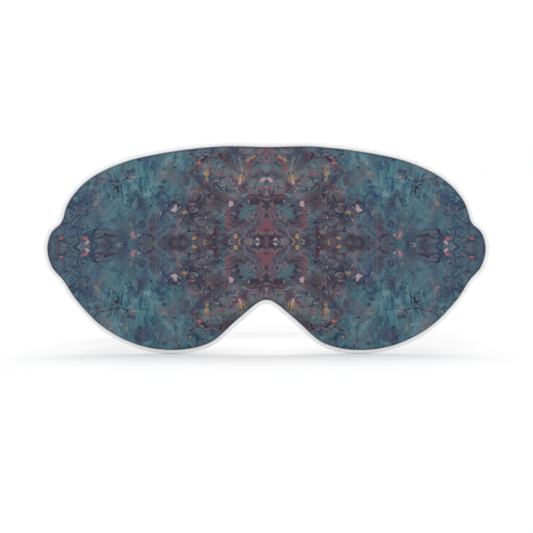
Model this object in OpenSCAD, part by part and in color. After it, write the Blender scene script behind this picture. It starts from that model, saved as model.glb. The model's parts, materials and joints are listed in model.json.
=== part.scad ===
// Padded sleep mask with a piped edge and an adjustable elastic head strap.
// +X runs along the mask, +Y from the printed face to the back of the head, +Z up.
// The mask stands on its piping, and the origin is the bottom centre of the box around the whole part.

/* [Mask] */
// Width of the fabric panels, from tab to tab
panel_w = 211; // [190:1:225]
// Height of the fabric panels, from the cheeks to the brow
panel_h = 97.6; // [88:0.1:108]
// How far the padded face stands in front of the seam
face_crown = 3.4; // [2:0.1:6]
// How far the lining side stands behind the seam
lining_crown = 1.9; // [1:0.1:3]
// Diameter of the piping round the edge
piping_d = 2.2; // [2:0.1:3]

/* [Strap] */
// Width of the elastic
strap_w = 15; // [12:1:18]
// Thickness of the elastic
strap_t = 1.2; // [0.8:0.1:1.4]
// Straight length of elastic beside the head, on each side
leg_l = 50; // [48:1:56]
// Angle by which each straight length leans inwards
leg_lean = 20; // [15:1:25]
// Angle by which the loop of elastic droops behind the mask
droop = 8; // [0:1:10]

/* [Adjuster] */
// Angle along the back of the loop between the ring and the slider
slider_turn = 40; // [24:1:60]
// Diameter of the ring's wire
ring_wire_d = 2.8; // [2.4:0.1:3]

/* [Hidden] */

fabric_t = 0.4;
gap = 0.05;            // between layers that lie on each other
join = 0.02;           // stretches of one elastic run this far into each other
run_gap = 0.15;        // between the elastic and the slider that runs on it
thread_r = 0.15;
seam_steps = 3;        // points along each stretch of the outline
seam_allowance = 3.5;  // width of the piping's flange inside the seam
pad_inset = 3.8;       // distance from the seam to the wadding's edge
flange_half = 0.3;     // half the thickness of the flange, a doubled bias strip

// The right half of the seam as shares of half the width and of the height,
// clockwise from the brow round the strap tab and the cheek to the nose.
half_outline = [
    [0, 0.998], [0.209, 1], [0.474, 0.967], [0.664, 0.917], [0.818, 0.830],
    [0.903, 0.724], [0.937, 0.624], [0.980, 0.578], [1, 0.497], [0.978, 0.407],
    [0.929, 0.345], [0.867, 0.245], [0.742, 0.110], [0.573, 0.020], [0.393, 0],
    [0.255, 0.038], [0.130, 0.153], [0, 0.247]
];
last_half = len(half_outline) - 1;
outline = concat(half_outline, [for (i = [last_half - 1:-1:1]) [-half_outline[i][0], half_outline[i][1]]]);
knots = [for (p = outline) [p[0] * panel_w / 2, p[1] * panel_h]];

// Centripetal Catmull-Rom curve from b to c, at share u of the way.
function ease(p, q, tp, tq, t) = (p * (tq - t) + q * (t - tp)) / (tq - tp);
function curve(a, b, c, d, u) =
    let (ta = 0, tb = ta + sqrt(norm(b - a)), tc = tb + sqrt(norm(c - b)), td = tc + sqrt(norm(d - c)))
    let (t = tb + (tc - tb) * u)
    let (ab = ease(a, b, ta, tb, t), bc = ease(b, c, tb, tc, t), cd = ease(c, d, tc, td, t))
    ease(ease(ab, bc, ta, tc, t), ease(bc, cd, tb, td, t), tb, tc, t);
function knot(i) = knots[(i + len(knots)) % len(knots)];
flat_seam = [
    for (k = [0:len(knots) - 1], s = [0:seam_steps - 1])
        curve(knot(k - 1), knot(k), knot(k + 1), knot(k + 2), s / seam_steps)
];
seam_lift = piping_d - min([for (p = flat_seam) p[1]]);
seam = [for (p = flat_seam) [p[0], p[1] + seam_lift]];
seam_n = len(seam);
function seam_point(i) = seam[(i + seam_n) % seam_n];
function along_seam(i) = let (t = seam_point(i + 1) - seam_point(i - 1)) t / norm(t);
function out_of_seam(i) = let (t = along_seam(i)) [-t[1], t[0]];

// Strap geometry, in plan. The elastic leaves each tab through a tight curl, runs straight
// beside the head and closes behind it in one arc.
tab_z = 0.483 * panel_h + piping_d;
tab_x = 0.943 * panel_w / 2;            // where the elastic leaves the tab
lining_y = flange_half + gap + fabric_t + lining_crown;
sewn_y = lining_y + gap + strap_t / 2;  // middle of the elastic where it lies on the tab
curl_r = 3.2;
hinge_y = sewn_y + curl_r;              // the loop swings about a line along X at this depth
leg_start = [tab_x + curl_r * cos(leg_lean), curl_r * sin(leg_lean)];
leg_end = leg_start + leg_l * [-sin(leg_lean), cos(leg_lean)];
arc_r = leg_end[0] / cos(leg_lean);
arc_y = leg_end[1] - arc_r * sin(leg_lean);
flex_l = 24;                            // length of each leg that twists as the loop swings
fold_off = 4.2;                         // between the two layers of a folded elastic
fold_r = fold_off / 2;
near_bar = leg_l - 10;                  // the ring's bars, measured along the leg
far_bar = leg_l - 1;
loop_tail = 12;                         // length of the ring loop's inner layer
bar_clear = 0.4;                        // between the elastic's edge and a ring's or slider's rail
rail_t = 1.8;
slider_at = 180 - leg_lean - slider_turn;
slider_half = 4.4;
slider_bar_r = 0.9;
wrap_r = (fold_off - strap_t - run_gap) / 2;
wrap_bar_r = wrap_r - strap_t / 2 - gap;
wrap_turn = 6;                          // angle that the wrapped end covers along the arc
lead_turn = 2;                          // angle of inner layer that moves with the slider

front_y = -(flange_half + gap + fabric_t + face_crown);
rear_y = hinge_y + (arc_y + arc_r + strap_t / 2) * cos(droop) + strap_w / 2 * sin(droop);
mid_y = (front_y + rear_y) / 2;

$fn = 48;

// A closed solid through rings of points. The rings close on themselves if closed is true,
// and end in flat caps otherwise.
module skin(rings, closed = false) {
    n = len(rings[0]);
    m = len(rings);
    sides = [
        for (i = [0:m - (closed ? 1 : 2)], j = [0:n - 1])
            let (a = i * n + j, b = i * n + (j + 1) % n, up = ((i + 1) % m) * n)
            for (t = [[a, b, up + (j + 1) % n], [a, up + (j + 1) % n, up + j]]) t
    ];
    caps = closed ? [] : [[for (j = [n - 1:-1:0]) j], [for (j = [0:n - 1]) (m - 1) * n + j]];
    polyhedron(points = [for (r = rings, p = r) p], faces = concat(sides, caps), convexity = 10);
}

// The mask's layers are crowned over the same rings: from the seam in to a line along the middle.
ring_share = [0, 0, 0.27, 0.58, 0.85];
ring_crown = [0, 0.40, 0.72, 0.93, 1];
top_ring = len(ring_share) - 1;
function middle(p) =
    let (bridge = exp(-pow(p[0] / (0.22 * panel_w), 2)))
    [0.78 * p[0], seam_lift + panel_h * (0.49 + 0.13 * bridge)];
function crown_ring(k, y) = [
    for (i = [0:seam_n - 1])
        let (p = seam[i] - (k == 0 ? 0 : pad_inset) * out_of_seam(i), q = p + (middle(p) - p) * ring_share[k])
        [q[0], y, q[1]]
];
// A layer whose side nearer the seam is inner_y from it at the edge, with the crown given, t thick.
module crowned_layer(side, inner_y, crown, t) {
    skin(concat(
        [for (k = [top_ring:-1:0]) crown_ring(k, side * (inner_y + crown * ring_crown[k]))],
        [for (k = [0:top_ring]) crown_ring(k, side * (inner_y + t + crown * ring_crown[k]))]
    ));
}

module front_panel() {
    color("cadetblue") mirror([0, 1, 0]) crowned_layer(1, flange_half + gap, face_crown, fabric_t);
}

module back_panel() {
    color("whitesmoke") crowned_layer(1, flange_half + gap, lining_crown, fabric_t);
}

module wadding() {
    front = [for (k = [1:top_ring]) crown_ring(k, -(flange_half + face_crown * ring_crown[k]))];
    back = [for (k = [1:top_ring])
        crown_ring(k, flange_half - gap - fabric_t + lining_crown * ring_crown[k])];
    color("white") skin(concat([for (k = [top_ring:-1:1]) front[k - 1]], back));
}

module blackout_liner() {
    near = [for (k = [1:top_ring]) crown_ring(k, flange_half - fabric_t + lining_crown * ring_crown[k])];
    far = [for (k = [1:top_ring]) crown_ring(k, flange_half + lining_crown * ring_crown[k])];
    color("dimgray") skin(concat([for (k = [top_ring:-1:1]) near[k - 1]], far));
}

// A section of the piping, placed square to the seam at point i. A section's points are
// [distance outwards from the seam, distance behind it].
function on_seam(i, section) = [
    for (s = section)
        let (p = seam[i] + s[0] * out_of_seam(i))
        [p[0], s[1], p[1]]
];

piping_r = piping_d / 2;
cover_t = 0.3;
slit = 0.03;  // half the slit between the two plies of the bias strip
bore_r = piping_r - cover_t;
lip = asin(flange_half / piping_r);
bore_lip = asin(slit / bore_r);

module piping_cover() {
    outside = [
        for (a = [-180 + lip : (360 - 2 * lip) / 12 : 180 - lip + 0.01])
            [piping_r + piping_r * cos(a), piping_r * sin(a)]
    ];
    inside = [
        for (a = [180 - bore_lip : -(360 - 2 * bore_lip) / 8 : -180 + bore_lip - 0.01])
            [piping_r + bore_r * cos(a), bore_r * sin(a)]
    ];
    section = concat(
        outside,
        [[-seam_allowance, flange_half], [-seam_allowance, slit]],
        inside,
        [[-seam_allowance, -slit], [-seam_allowance, -flange_half]]
    );
    color("white") skin([for (i = [0:seam_n - 1]) on_seam(i, section)], closed = true);
}

module piping_cord() {
    cord_r = bore_r - gap;
    section = [for (a = [0:45:315]) [piping_r + cord_r * cos(a), cord_r * sin(a)]];
    color("ivory") skin([for (i = [0:seam_n - 1]) on_seam(i, section)], closed = true);
}

// One straight stitch from a to b.
module stitch(a, b) {
    d = b - a;
    translate(a)
        rotate([0, acos(d[2] / norm(d)), atan2(d[1], d[0])])
            cylinder(h = norm(d), r = thread_r, $fn = 16);
}

// Stitches of the length given along a straight row from a to b.
module stitch_row(a, b, pitch = 2.4, fill = 0.8) {
    n = max(1, round(norm(b - a) / pitch));
    for (i = [0:n - 1]) {
        start = a + (b - a) * (i + (1 - fill) / 2) / n;
        stitch(start, start + (b - a) * fill / n);
    }
}

module seam_thread() {
    depth = 0.8;  // of the seam line inside the flange
    color("white")
        for (i = [0:seam_n - 1]) {
            a = seam_point(i) - depth * out_of_seam(i);
            b = seam_point(i + 1) - depth * out_of_seam(i + 1);
            stitch_row([a[0], 0, a[1]], [b[0], 0, b[1]]);
        }
}

// Elastic sewn flat on the back of a tab, side 1 at +X and -1 at -X.
sewn_l = 13;
module sewn_end(side) {
    x = side > 0 ? tab_x - sewn_l : -tab_x;
    translate([x, sewn_y - strap_t / 2, tab_z - strap_w / 2]) cube([sewn_l, strap_t, strap_w]);
}

// A box of stitches with a cross, on the sewn end.
module box_tack(side) {
    y = sewn_y + strap_t / 2 + thread_r;
    x0 = side * (tab_x - sewn_l + 1.8);
    x1 = side * (tab_x - 1.8);
    z0 = tab_z - strap_w / 2 + 2.2;
    z1 = tab_z + strap_w / 2 - 2.2;
    inset = 0.9;  // keeps the cross clear of the box's corners
    stitch_row([x0, y, z0], [x1, y, z0]);
    stitch_row([x0, y, z1], [x1, y, z1]);
    stitch_row([x0, y, z0 + inset], [x0, y, z1 - inset]);
    stitch_row([x1, y, z0 + inset], [x1, y, z1 - inset]);
    stitch_row([x0 + side * inset, y, z0 + inset], [x1 - side * inset, y, z1 - inset], pitch = 2.6, fill = 0.62);
}

// The stretch that twists: the curl at the tab and the first part of the leg. Its sections turn
// from upright at the tab to the loop's droop.
module flex_end(side) {
    curl_steps = 6;
    leg_steps = 6;
    half = strap_t / 2;
    curl = [for (i = [0:curl_steps]) let (a = -90 + (90 + leg_lean) * i / curl_steps)
        [[tab_x, 0] + (curl_r - half) * [cos(a), sin(a)], [tab_x, 0] + (curl_r + half) * [cos(a), sin(a)], 0]];
    leg = [for (i = [1:leg_steps])
        let (u = i / leg_steps, p = leg_start + u * flex_l * [-sin(leg_lean), cos(leg_lean)])
        [p - half * [cos(leg_lean), sin(leg_lean)], p + half * [cos(leg_lean), sin(leg_lean)],
            droop * u * u * (3 - 2 * u)]];
    rings = [for (s = concat(curl, leg)) [
        for (c = [[0, -1], [1, -1], [1, 1], [0, 1]])
            let (p = s[c[0]], z = c[1] * strap_w / 2, tilt = s[2])
            [p[0], hinge_y + p[1] * cos(tilt) + z * sin(tilt), tab_z - p[1] * sin(tilt) + z * cos(tilt)]
    ]];
    mirror([side > 0 ? 0 : 1, 0, 0]) skin(rings);
}

// Places what is drawn in the loop's own plane, with its origin on the hinge line.
module in_loop() {
    translate([0, hinge_y, tab_z]) rotate([-droop, 0, 0]) children();
}

// Places what is drawn along the right or left leg: +X along it away from the mask,
// +Y out of the loop, starting where the curl ends.
module along_leg(side) {
    mirror([side > 0 ? 0 : 1, 0, 0])
        translate([leg_start[0], leg_start[1], 0])
            rotate([0, 0, 90 + leg_lean])
                mirror([0, 1, 0])
                    children();
}

// Elastic that runs straight from x = a to b, with its middle at distance y out of the loop.
module straight(a, b, y = 0) {
    translate([a, y - strap_t / 2, -strap_w / 2]) cube([b - a, strap_t, strap_w]);
}

// Elastic bent round an upright bar, over half a turn, towards +X or -X.
module half_turn(r, towards) {
    translate([0, 0, -strap_w / 2])
        rotate_extrude(angle = 180, start = towards > 0 ? -90 : 90)
            translate([r - strap_t / 2, 0]) square([strap_t, strap_w]);
}

// Elastic on the loop's arc at radius r, from angle a to b.
module on_arc(r, a, b) {
    translate([0, arc_y, -strap_w / 2])
        rotate_extrude(angle = b - a, start = a)
            translate([r - strap_t / 2, 0]) square([strap_t, strap_w]);
}

module strap() {
    color("white") in_loop() {
        along_leg(1) straight(flex_l, leg_l + join);
        on_arc(arc_r, leg_lean, 180 - leg_lean);
        along_leg(-1) {
            straight(far_bar - join, leg_l + join);
            translate([far_bar, -fold_r, 0]) half_turn(fold_r, -1);
            straight(far_bar - join, leg_l, -fold_off);
        }
    }
}

module ring_loop() {
    color("white") in_loop() along_leg(-1) {
        straight(flex_l, near_bar + join);
        translate([near_bar, -fold_r, 0]) half_turn(fold_r, 1);
        straight(near_bar - loop_tail, near_bar + join, -fold_off);
    }
}

// A bar tack: rows of stitches that go through two layers of elastic, centred at x.
module bar_tack(x, from_y, to_y) {
    rows = 5;
    for (dx = [-0.8, 0.8], i = [0:rows - 1]) {
        z = (i - (rows - 1) / 2) * (strap_w - 4) / (rows - 1);
        stitch([x + dx, from_y, z], [x + dx, to_y, z]);
    }
}

module ring_loop_stitches() {
    color("white") in_loop() along_leg(-1)
        bar_tack(near_bar - loop_tail + 2.2, -fold_off - strap_t / 2 - thread_r, strap_t / 2 + thread_r);
}

// A rectangle with round corners of radius r, centred.
module rounded(w, h, r) {
    square([w, h - 2 * r], center = true);
    square([w - 2 * r, h], center = true);
    for (x = [-1, 1], y = [-1, 1]) translate([x * (w / 2 - r), y * (h / 2 - r)]) circle(r);
}

module ring() {
    wire_r = ring_wire_d / 2;
    inner_h = strap_w + 2 * bar_clear;
    color("gainsboro") in_loop() along_leg(-1) {
        for (x = [near_bar, far_bar])
            translate([x, -fold_r, 0]) cylinder(h = inner_h + wire_r, r = wire_r, center = true);
        for (s = [-1, 1])
            translate([(near_bar + far_bar) / 2, -fold_r, s * (inner_h + wire_r) / 2])
                translate([0, 0, -wire_r / 2 + s * wire_r / 2])
                    linear_extrude(wire_r)
                        rounded(far_bar - near_bar + ring_wire_d, ring_wire_d, wire_r - 0.01);
    }
}

module strap_return() {
    color("white") in_loop() on_arc(arc_r - fold_off, slider_at + lead_turn, 180 - leg_lean);
}

// Places what is drawn on the slider: +X out of the loop, +Y along the elastic towards the ring.
module at_slider() {
    in_loop() translate([0, arc_y, 0]) rotate([0, 0, slider_at]) translate([arc_r, 0, 0]) children();
}

module slider() {
    outer_x = strap_t / 2 + run_gap + slider_bar_r;
    centre_x = -fold_off + wrap_r;
    bar_h = strap_w + 2 * bar_clear + rail_t;
    rail_w = outer_x - centre_x + 2 * slider_bar_r;
    color("gainsboro") at_slider() {
        for (y = [-1, 1])
            translate([outer_x, y * slider_half, 0]) cylinder(h = bar_h, r = slider_bar_r, center = true);
        translate([centre_x, 0, 0]) cylinder(h = bar_h, r = wrap_bar_r, center = true);
        for (s = [-1, 1])
            translate([(outer_x + centre_x) / 2, 0, s * (bar_h / 2) - rail_t / 2])
                linear_extrude(rail_t) rounded(rail_w, 2 * (slider_half + slider_bar_r), slider_bar_r);
    }
}

// Elastic whose middle follows a path of points in plan.
module ribbon(path) {
    last = len(path) - 1;
    function side(s) = [
        for (i = [0:last])
            let (t = path[min(i + 1, last)] - path[max(i - 1, 0)])
            path[i] + s * strap_t / 2 * [-t[1], t[0]] / norm(t)
    ];
    right = side(-1);
    translate([0, 0, -strap_w / 2])
        linear_extrude(strap_w)
            polygon(concat(side(1), [for (i = [last:-1:0]) right[i]]));
}

// Points round c at radius r, from angle a to b.
function bend(c, r, a, b, steps) = [
    for (i = [0:steps])
        let (angle = a + (b - a) * i / steps)
        c + r * [cos(angle), sin(angle)]
];

module slider_wrap() {
    arc_c = [-arc_r, 0];
    inner_r = arc_r - fold_off;
    turn = bend([-fold_off + wrap_r, 0], wrap_r, 180, 360, 12);
    color("white") at_slider()
        ribbon(concat(
            bend(arc_c, inner_r, lead_turn - 0.02, 0.4, 3),
            turn,
            bend(arc_c, inner_r + 2 * wrap_r, 0.4, wrap_turn, 6)
        ));
}

module slider_stitches() {
    rows = 5;
    color("white") at_slider()
        for (dy = [0.9, 2.3], i = [0:rows - 1]) {
            z = (i - (rows - 1) / 2) * (strap_w - 4) / (rows - 1);
            stitch([-fold_off - strap_t / 2 - thread_r, dy, z], [2 * wrap_r - fold_off, dy, z]);
        }
}

label_size = [14, 0.3, 20];
label_at = [-40, lining_y + gap, 20];
module care_label() {
    color("white") translate(label_at) cube(label_size);
}

module label_stitches() {
    y = label_at[1] + label_size[1] + thread_r;
    x = label_at[0] + 1;
    color("white")
        for (z = [label_at[2] + 1, label_at[2] + label_size[2] - 1])
            stitch_row([x, y, z], [x + label_size[0] - 2, y, z]);
}

module placed() {
    translate([0, -mid_y, 0]) children();
}

placed() front_panel();
placed() wadding();
placed() blackout_liner();
placed() back_panel();
placed() piping_cover();
placed() piping_cord();
placed() seam_thread();
placed() color("white") sewn_end(1);  // strap_sewn_end
placed() color("white") box_tack(1);  // strap_tack
placed() color("white") flex_end(1);  // strap_flex_end
placed() strap();
placed() color("white") sewn_end(-1);  // ring_loop_sewn_end
placed() color("white") box_tack(-1);  // ring_loop_tack
placed() color("white") flex_end(-1);  // ring_loop_flex_end
placed() ring_loop();
placed() ring_loop_stitches();
placed() ring();
placed() strap_return();
placed() slider();
placed() slider_wrap();
placed() slider_stitches();
placed() care_label();
placed() label_stitches();
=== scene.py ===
"""A padded sleep mask with a piped edge and an adjustable elastic strap, built around its CAD frame."""

import json
from math import asin, atan2, copysign, cos, degrees, pi, radians, sin, sqrt, tau

import bmesh
import bpy
import numpy as np
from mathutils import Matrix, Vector
from mathutils.bvhtree import BVHTree
from mathutils.geometry import delaunay_2d_cdt


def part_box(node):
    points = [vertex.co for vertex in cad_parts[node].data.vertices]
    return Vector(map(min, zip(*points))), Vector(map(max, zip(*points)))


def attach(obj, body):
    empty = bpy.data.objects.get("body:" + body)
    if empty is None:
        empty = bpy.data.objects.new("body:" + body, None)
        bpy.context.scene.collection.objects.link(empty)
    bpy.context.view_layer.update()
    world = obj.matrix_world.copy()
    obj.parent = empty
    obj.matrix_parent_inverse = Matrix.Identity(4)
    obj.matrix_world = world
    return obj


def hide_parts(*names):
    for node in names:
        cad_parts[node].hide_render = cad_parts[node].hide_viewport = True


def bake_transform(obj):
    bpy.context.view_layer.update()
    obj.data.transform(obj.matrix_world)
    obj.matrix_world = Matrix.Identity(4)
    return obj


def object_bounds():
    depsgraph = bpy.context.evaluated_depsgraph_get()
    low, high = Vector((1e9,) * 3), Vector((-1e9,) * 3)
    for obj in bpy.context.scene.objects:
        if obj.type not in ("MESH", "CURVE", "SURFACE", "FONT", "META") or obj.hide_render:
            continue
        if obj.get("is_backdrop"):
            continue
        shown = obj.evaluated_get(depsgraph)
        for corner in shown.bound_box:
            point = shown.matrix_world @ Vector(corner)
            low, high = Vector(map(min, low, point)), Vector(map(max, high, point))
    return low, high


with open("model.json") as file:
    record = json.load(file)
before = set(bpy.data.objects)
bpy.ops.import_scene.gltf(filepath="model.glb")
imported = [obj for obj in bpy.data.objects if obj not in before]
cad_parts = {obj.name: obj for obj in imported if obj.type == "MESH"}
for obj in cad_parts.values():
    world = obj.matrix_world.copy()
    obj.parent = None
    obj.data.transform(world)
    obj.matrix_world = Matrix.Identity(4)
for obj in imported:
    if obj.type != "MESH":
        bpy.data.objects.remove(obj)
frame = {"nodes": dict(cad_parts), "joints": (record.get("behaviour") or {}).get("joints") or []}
CAD_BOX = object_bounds()
MM = 0.001
JOINTS = {j["name"]: j for j in frame["joints"]}
rng = np.random.default_rng(11)


# -------- places from the frame

def node_points(node):
    """A CAD node's points at rest."""
    return np.array([v.co for v in frame["nodes"][node].data.vertices], float)


SPAN_STEPS = 16     # how finely each span of a spline is measured


def closed_spline(points, count):
    """count points, evenly spaced, on a smooth closed curve through the points."""
    n = len(points)
    step = np.linalg.norm(np.roll(points, -1, 0) - points, axis=1)
    before = np.roll(step, 1)
    slope = (np.roll(points, -1, 0) - points) / step[:, None]
    system = np.zeros((n, n))
    i = np.arange(n)
    system[i, i] = 2 * (before + step)
    system[i, (i - 1) % n] = before
    system[i, (i + 1) % n] = step
    bend = np.linalg.solve(system, 6 * (slope - np.roll(slope, 1, 0)))
    dense = []
    for k in range(n):
        m = (k + 1) % n
        t = np.linspace(0, step[k], SPAN_STEPS, endpoint=False)[:, None]
        rest = step[k] - t
        dense.append(
            bend[k] * rest**3 / (6 * step[k]) + bend[m] * t**3 / (6 * step[k])
            + (points[k] / step[k] - bend[k] * step[k] / 6) * rest
            + (points[m] / step[k] - bend[m] * step[k] / 6) * t
        )
    dense = np.vstack(dense + [points[:1]])
    run = np.r_[0, np.cumsum(np.linalg.norm(np.diff(dense, axis=0), axis=1))]
    at = np.linspace(0, run[-1], count, endpoint=False)
    return np.column_stack([np.interp(at, run, dense[:, c]) for c in range(2)])


def normals_of(points):
    """Outward normals of an anticlockwise closed curve."""
    along = np.roll(points, -1, 0) - np.roll(points, 1, 0)
    along /= np.linalg.norm(along, axis=1)[:, None]
    return np.column_stack([along[:, 1], -along[:, 0]])


def seam_outline(count):
    """The seam as points (x, z), anticlockwise seen from the front, and its outward normals."""
    co = node_points("front_panel")
    rim = co[co[:, 1] > co[:, 1].max() - 1e-6][:, [0, 2]]
    rim = np.unique(np.round(rim, 6), axis=0)
    middle = (rim[:, 1].min() + rim[:, 1].max()) / 2
    rim = rim[np.argsort(np.arctan2(rim[:, 1] - middle, rim[:, 0]))]
    points = closed_spline(rim, count)
    return points, normals_of(points)


LAYER_LO, LAYER_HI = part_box("front_panel")
LINING_LO, LINING_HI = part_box("back_panel")
SEAM_Y = (LAYER_HI.y + LINING_LO.y) / 2         # the seam's own plane
EDGE_Y = LINING_LO.y - SEAM_Y                   # from that plane to each skin's inner face at its edge
CLOTH = 0.35 * MM
FACE_CROWN = SEAM_Y - LAYER_LO.y - EDGE_Y - CLOTH
LINING_CROWN = LINING_HI.y - SEAM_Y - EDGE_Y - CLOTH
PIPING_R = (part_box("piping_cover")[1].x - LAYER_HI.x) / 2
CORE_R = (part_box("piping_cord")[1].x - LAYER_HI.x) - PIPING_R


# -------- mesh helpers

def give(thing, **settings):
    """Sets attributes of a thing, and gives it back."""
    for key, value in settings.items():
        setattr(thing, key, value)
    return thing


def linked(name, data):
    """A new object in the scene."""
    obj = bpy.data.objects.new(name, data)
    bpy.context.scene.collection.objects.link(obj)
    return obj


def new_object(name, points, faces, material, smooth=True):
    mesh = bpy.data.meshes.new(name)
    mesh.from_pydata([tuple(p) for p in points], [], [tuple(int(i) for i in f) for f in faces])
    mesh.validate()
    mesh.polygons.foreach_set("use_smooth", [smooth] * len(mesh.polygons))
    mesh.materials.append(material)
    return linked(name, mesh)


def modify(obj, kind, **settings):
    return give(obj.modifiers.new(kind.lower(), kind), **settings)


def apply_modifiers(obj):
    """Puts what the modifiers make into the mesh itself."""
    done = bpy.data.meshes.new_from_object(obj.evaluated_get(bpy.context.evaluated_depsgraph_get()))
    obj.modifiers.clear()
    obj.data = done
    done.polygons.foreach_set("use_smooth", [True] * len(done.polygons))


def outwards(obj, side=0):
    """Turns every face of a closed mesh outwards, or of an open sheet towards -Y or +Y: side is -1 or 1."""
    bm = bmesh.new()
    bm.from_mesh(obj.data)
    bmesh.ops.recalc_face_normals(bm, faces=bm.faces)
    if sum(f.normal.y for f in bm.faces) * side < 0:
        bmesh.ops.reverse_faces(bm, faces=bm.faces)
    bm.to_mesh(obj.data)
    bm.free()


def solid(name, points, faces, material):
    """A closed mesh, its faces turned outwards."""
    obj = new_object(name, points, faces, material)
    outwards(obj)
    return obj


def grid_faces(rows, columns, close_rows=False, close_columns=True, start=0):
    """Quads over a grid of points listed row by row."""
    r = np.arange(rows if close_rows else rows - 1)[:, None]
    c = np.arange(columns if close_columns else columns - 1)[None, :]
    r2, c2 = (r + 1) % rows, (c + 1) % columns
    quads = np.stack([r * columns + c, r * columns + c2, r2 * columns + c2, r2 * columns + c], -1)
    return [tuple(q) for q in start + quads.reshape(-1, 4)]


def rim_faces(rim, further):
    """Quads between a closed row of points and its twin, that much further on in the list."""
    after = np.roll(rim, -1)
    return [tuple(q) for q in np.stack([rim, after, after + further, rim + further], -1)]


def caps(rows, columns, start=0):
    """The two end faces of a grid whose columns close."""
    last = start + (rows - 1) * columns
    return [tuple(range(start, start + columns))[::-1], tuple(range(last, last + columns))]


def loft(rings, points, faces, close=False):
    """Adds a skin over rings of points. It ends in two caps, or closes on itself."""
    start, columns = len(points), len(rings[0])
    points += [p for ring in rings for p in ring]
    faces += grid_faces(len(rings), columns, close_rows=close, start=start)
    if not close:
        faces += caps(len(rings), columns, start)


def eased(share):
    """A smooth step from 0 to 1."""
    return share * share * (3 - 2 * share)


def set_uv(obj, uv):
    """Gives every corner its point's (u, v), in metres along and across the cloth."""
    layer = obj.data.uv_layers.new(name="cloth")
    corner = np.zeros(len(obj.data.loops), int)
    obj.data.loops.foreach_get("vertex_index", corner)
    layer.data.foreach_set("uv", np.asarray(uv, np.float32)[corner].ravel())


def piece(obj, body, slot, *stands_for):
    """Puts a finished piece on its body and in place of its CAD nodes, which it hides. slot is not used."""
    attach(obj, body)
    dress(obj, slot, *stands_for)


def dress(obj, slot, *stands_for):
    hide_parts(*stands_for)


# -------- shader helpers

class Value:
    """What a node gives. + - * / on it make the Math node, or the Vector Math node, that works it out."""

    def __init__(self, nodes, socket):
        self.nodes, self.socket = nodes, socket

    def worked(self, operation, other):
        if self.socket.type == "VALUE":
            return self.nodes.math(operation, self, other)
        if operation == "MULTIPLY" and not isinstance(other, tuple):
            operation = "SCALE"
        return self.nodes.vector(operation, self, other)

    def __add__(self, other):
        return self.worked("ADD", other)

    def __sub__(self, other):
        return self.worked("SUBTRACT", other)

    def __mul__(self, other):
        return self.worked("MULTIPLY", other)

    def __truediv__(self, other):
        return self.worked("DIVIDE", other)


class Nodes:
    """A node tree, and short ways to make the nodes in it."""

    def __init__(self, tree):
        self.tree = tree

    def node(self, kind, **settings):
        return give(self.tree.nodes.new("ShaderNode" + kind), **settings)

    def put(self, socket, value):
        """Links a value or an output to a socket, or sets a constant on it."""
        value = getattr(value, "socket", value)
        if isinstance(value, bpy.types.NodeSocket):
            self.tree.links.new(value, socket)
        else:
            socket.default_value = value

    def fed(self, made, output=0, **values):
        """One output of a node, once its inputs have their values. An underscore in a name is a space."""
        for name, value in values.items():
            self.put(made.inputs[name.replace("_", " ")], value)
        return Value(self, made.outputs[output])

    def math(self, operation, *values):
        made = self.node("Math", operation=operation)
        for socket, value in zip(made.inputs, values):
            self.put(socket, value)
        return Value(self, made.outputs[0])

    def vector(self, operation, first, other=None):
        made = self.node("VectorMath", operation=operation)
        self.put(made.inputs[0], first)
        if other is not None:
            self.put(made.inputs["Scale"] if operation == "SCALE" else made.inputs[1], other)
        return Value(self, made.outputs["Value" if operation == "LENGTH" else "Vector"])

    def split(self, vector):
        made = self.node("SeparateXYZ")
        self.fed(made, Vector=vector)
        return [Value(self, part) for part in made.outputs]

    def join(self, x=0.0, y=0.0, z=0.0):
        return self.fed(self.node("CombineXYZ"), X=x, Y=y, Z=z)

    def turn(self, vector, angle):
        return self.fed(self.node("VectorRotate", rotation_type="Z_AXIS"), Vector=vector, Angle=angle)

    def noise(self, vector, scale=1.0, detail=2.0, rough=0.5, output="Fac"):
        made = self.node("TexNoise")
        return self.fed(made, output, Vector=vector, Scale=scale, Detail=detail, Roughness=rough)

    def push(self, at, source, scale, reach, seed=0.0):
        """at, moved by up to about half of reach by a noise of the given scale."""
        field = self.noise(source + (seed, seed, 0), scale, 2, 0.5, "Color")
        return at + (field - (0.5, 0.5, 0.5)) * reach

    def cells(self, vector, randomness):
        """The middle of the cell that each point is in, and three random shares for that cell."""
        made = self.node("TexVoronoi", voronoi_dimensions="2D")
        middle = self.fed(made, "Position", Vector=vector, Scale=1.0, Randomness=randomness)
        return middle, *self.split(made.outputs["Color"])

    def ease(self, value, low, high, to_low=0.0, to_high=1.0):
        made = self.node("MapRange", interpolation_type="SMOOTHSTEP")
        return self.fed(made, Value=value, From_Min=low, From_Max=high, To_Min=to_low, To_Max=to_high)

    def mix(self, kind, share, a, b, inputs, output):
        made = self.node("Mix", data_type=kind)
        for index, value in zip((0, *inputs), (share, a, b)):
            self.put(made.inputs[index], value)
        return Value(self, made.outputs[output])

    def blend(self, share, a, b):
        """Colour a where share is 0, and colour b where it is 1."""
        return self.mix("RGBA", share, a, b, (6, 7), 2)

    def lerp(self, share, a, b):
        """Number a where share is 0, and number b where it is 1."""
        return self.mix("FLOAT", share, a, b, (2, 3), 0)

    def ramp(self, value, *stops):
        """A ramp through the stops, each a place and an sRGB colour."""
        made = self.node("ValToRGB")
        elements = made.color_ramp.elements
        while len(elements) < len(stops):
            elements.new(0.5)
        for element, (place, *shade) in zip(elements, stops):
            give(element, position=place, color=colour(*shade))
        return self.fed(made, Fac=value)

    def place(self, source="Object"):
        """The point on the surface in metres, or its (u, v) with source UV."""
        return Value(self, self.node("TexCoord").outputs[source])


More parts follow.
